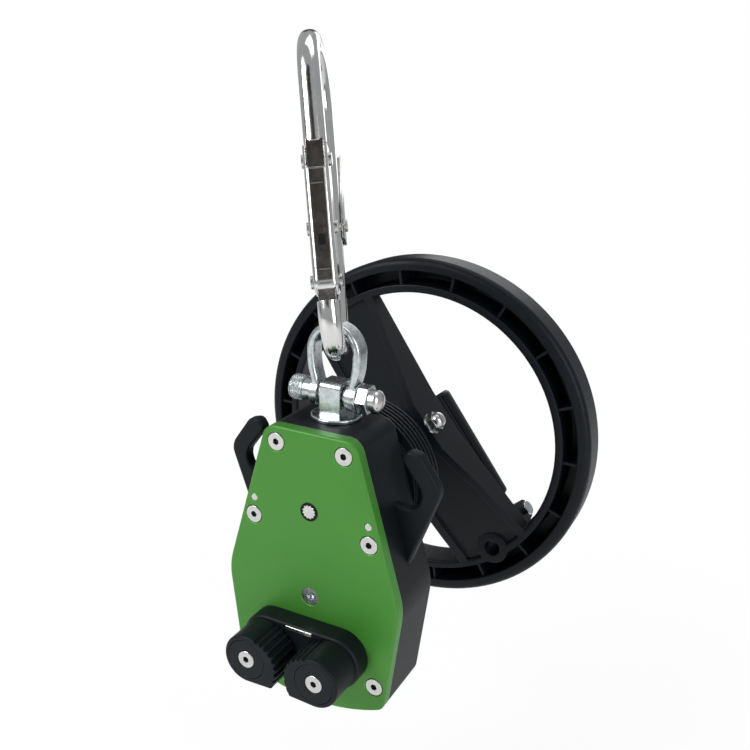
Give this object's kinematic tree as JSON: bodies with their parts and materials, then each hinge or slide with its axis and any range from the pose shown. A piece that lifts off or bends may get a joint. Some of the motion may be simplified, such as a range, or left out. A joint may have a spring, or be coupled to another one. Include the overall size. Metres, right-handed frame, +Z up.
{
  "type": "hand-wheel rope winch",
  "caption": "Hand-cranked rope winch with a handwheel, finned brake drum, rope horns and cam cleat, hung from a swivel eye, shackle and snap hook.",
  "frame": {"origin": "the point inside the top of the snap hook where its anchor bears", "axes": "+Z up with the winch hanging plumb; the green plate faces -Y and the handwheel is at +Y; +X to the right seen from the plate's side"},
  "size_m": [0.2049, 0.1923, 0.3231],
  "materials": {
    "green_anodised": "satin",
    "black_anodised": "satin",
    "black_plastic": "matt",
    "polished_alloy": "polished",
    "bright_zinc": "bright zinc",
    "stainless": "satin",
    "steel": "machined",
    "bronze": "machined",
    "hard_alloy": "machined",
    "lining": "matt"
  },
  "bodies": {
    "hook": {"hook_body": "polished_alloy", "gate_pin": "stainless", "lever_pin": "stainless", "gate_spring": "steel", "lever_spring": "steel"},
    "gate": {"gate": "polished_alloy", "gate_rivets": "stainless"},
    "lever": {"lock_lever": "polished_alloy"},
    "shackle": {"shackle_bow": "bright_zinc", "shackle_bolt": "stainless", "shackle_collars": "bright_zinc", "lock_nut": "stainless", "dome_nut": "stainless"},
    "swivel": {"swivel_eye": "bright_zinc", "thrust_washer": "steel", "swivel_nut": "steel"},
    "frame": {"front_plate": "green_anodised", "plate_screws": "stainless", "dowel_pins": "stainless", "shaft_bushes": "bronze", "housing": "black_anodised", "horn_left": "black_anodised", "horn_right": "black_anodised", "horn_screws": "steel", "rope_guides": "hard_alloy", "rear_bearing": "steel", "roller_axle": "bright_zinc", "finned_drum": "black_anodised", "drum_screws": "steel", "ring_gear": "steel", "cleat_base": "black_anodised", "wear_strip": "stainless", "cam_bushes": "black_anodised", "cam_screws": "stainless", "cam_springs": "steel"},
    "drive": {"drive_shaft": "stainless", "shaft_key": "steel", "rope_sheave": "hard_alloy", "planet_carrier": "steel", "handwheel": "black_plastic", "hub_insert": "steel", "cross_bolt": "stainless", "cross_washers": "stainless", "cap_nut": "stainless", "crank_pin": "bright_zinc"},
    "roller": {"guide_roller": "hard_alloy", "roller_bush": "bronze"},
    "planet_1": {"planet_gear_1": "steel"},
    "planet_2": {"planet_gear_2": "steel"},
    "planet_3": {"planet_gear_3": "steel"},
    "brake_hub": {"sun_gear": "steel", "garter_spring": "steel"},
    "shoe_1": {"brake_shoe_1": "lining"},
    "shoe_2": {"brake_shoe_2": "lining"},
    "shoe_3": {"brake_shoe_3": "lining"},
    "cam_left": {"cam_left": "black_anodised"},
    "cam_right": {"cam_right": "black_anodised"},
    "crank": {"crank_arm": "steel", "grip_end_screw": "steel"},
    "grip": {"crank_grip": "black_plastic"}
  },
  "joints": [
    {"name": "gate_hinge", "type": "hinge", "parent": "hook", "child": "gate", "pos_m": [0.03868, -0.05214, -0.09536], "axis": [-0.89, -0.4398, -0.1205], "range_deg": [0, 22], "stiffness_Nm_per_rad": 0.05, "springref_deg": -17.19, "deforming": ["gate_spring"]},
    {"name": "lever_hinge", "type": "hinge", "parent": "hook", "child": "lever", "pos_m": [0.01473, -0.00834, -0.07834], "axis": [0.89, 0.4398, 0.1205], "range_deg": [0, 6], "stiffness_Nm_per_rad": 0.05, "springref_deg": -11.46, "deforming": ["lever_spring"]},
    {"name": "shackle_swing", "type": "hinge", "parent": "hook", "child": "shackle", "pos_m": [0.0369, -0.04007, -0.12627], "axis": [0.4431, -0.8965, 0], "range_deg": [-25, 25]},
    {"name": "eye_swing", "type": "hinge", "parent": "shackle", "child": "swivel", "pos_m": [0.03706, -0.04024, -0.15229], "axis": [1, 0, 0], "range_deg": [-60, 25]},
    {"name": "housing_swivel", "type": "hinge", "parent": "swivel", "child": "frame", "pos_m": [0.03706, -0.04024, -0.16379], "axis": [0, 0, 1], "continuous": true},
    {"name": "drive_spin", "type": "hinge", "parent": "frame", "child": "drive", "pos_m": [0.03706, -0.00584, -0.20379], "axis": [0, 1, 0], "continuous": true},
    {"name": "crank_fold", "type": "hinge", "parent": "drive", "child": "crank", "pos_m": [0.08488, 0.08516, -0.26286], "axis": [-0.7771, 0, -0.6293], "range_deg": [0, 90]},
    {"name": "grip_spin", "type": "hinge", "parent": "crank", "child": "grip", "pos_m": [0.08488, 0.08516, -0.26286], "axis": [-0.6293, 0, 0.7771], "continuous": true},
    {"name": "planet_1_spin", "type": "hinge", "parent": "drive", "child": "planet_1", "pos_m": [0.03706, -0.01984, -0.18579], "axis": [0, 1, 0], "continuous": true},
    {"name": "planet_2_spin", "type": "hinge", "parent": "drive", "child": "planet_2", "pos_m": [0.02147, -0.01984, -0.21279], "axis": [0, 1, 0], "continuous": true},
    {"name": "planet_3_spin", "type": "hinge", "parent": "drive", "child": "planet_3", "pos_m": [0.05264, -0.01984, -0.21279], "axis": [0, 1, 0], "continuous": true},
    {"name": "brake_hub_spin", "type": "hinge", "parent": "frame", "child": "brake_hub", "pos_m": [0.03706, -0.00584, -0.20379], "axis": [0, 1, 0], "continuous": true},
    {"name": "shoe_1_slide", "type": "slide", "parent": "brake_hub", "child": "shoe_1", "axis": [0, 0, 1], "range_m": [0, 0.0006], "stiffness_N_per_m": 800, "springref_m": -0.002},
    {"name": "shoe_2_slide", "type": "slide", "parent": "brake_hub", "child": "shoe_2", "axis": [-0.866, 0, -0.5], "range_m": [0, 0.0006], "stiffness_N_per_m": 800, "springref_m": -0.002},
    {"name": "shoe_3_slide", "type": "slide", "parent": "brake_hub", "child": "shoe_3", "axis": [0.866, 0, -0.5], "range_m": [0, 0.0006], "stiffness_N_per_m": 800, "springref_m": -0.002},
    {"name": "roller_spin", "type": "hinge", "parent": "frame", "child": "roller", "pos_m": [0.03706, -0.04584, -0.24969], "axis": [0, 1, 0], "continuous": true},
    {"name": "cam_left_swing", "type": "hinge", "parent": "frame", "child": "cam_left", "pos_m": [0.01806, -0.08584, -0.27509], "axis": [0, 1, 0], "range_deg": [0, 50], "stiffness_Nm_per_rad": 0.05, "springref_deg": -17.19},
    {"name": "cam_right_swing", "type": "hinge", "parent": "frame", "child": "cam_right", "pos_m": [0.05606, -0.08584, -0.27509], "axis": [0, -1, 0], "range_deg": [0, 50], "stiffness_Nm_per_rad": 0.05, "springref_deg": -17.19}
  ],
  "couplings": [
    {"joint": "planet_1_spin", "follows": "drive_spin", "ratio": -3},
    {"joint": "planet_2_spin", "follows": "drive_spin", "ratio": -3},
    {"joint": "planet_3_spin", "follows": "drive_spin", "ratio": -3},
    {"joint": "brake_hub_spin", "follows": "drive_spin", "ratio": 4}
  ]
}
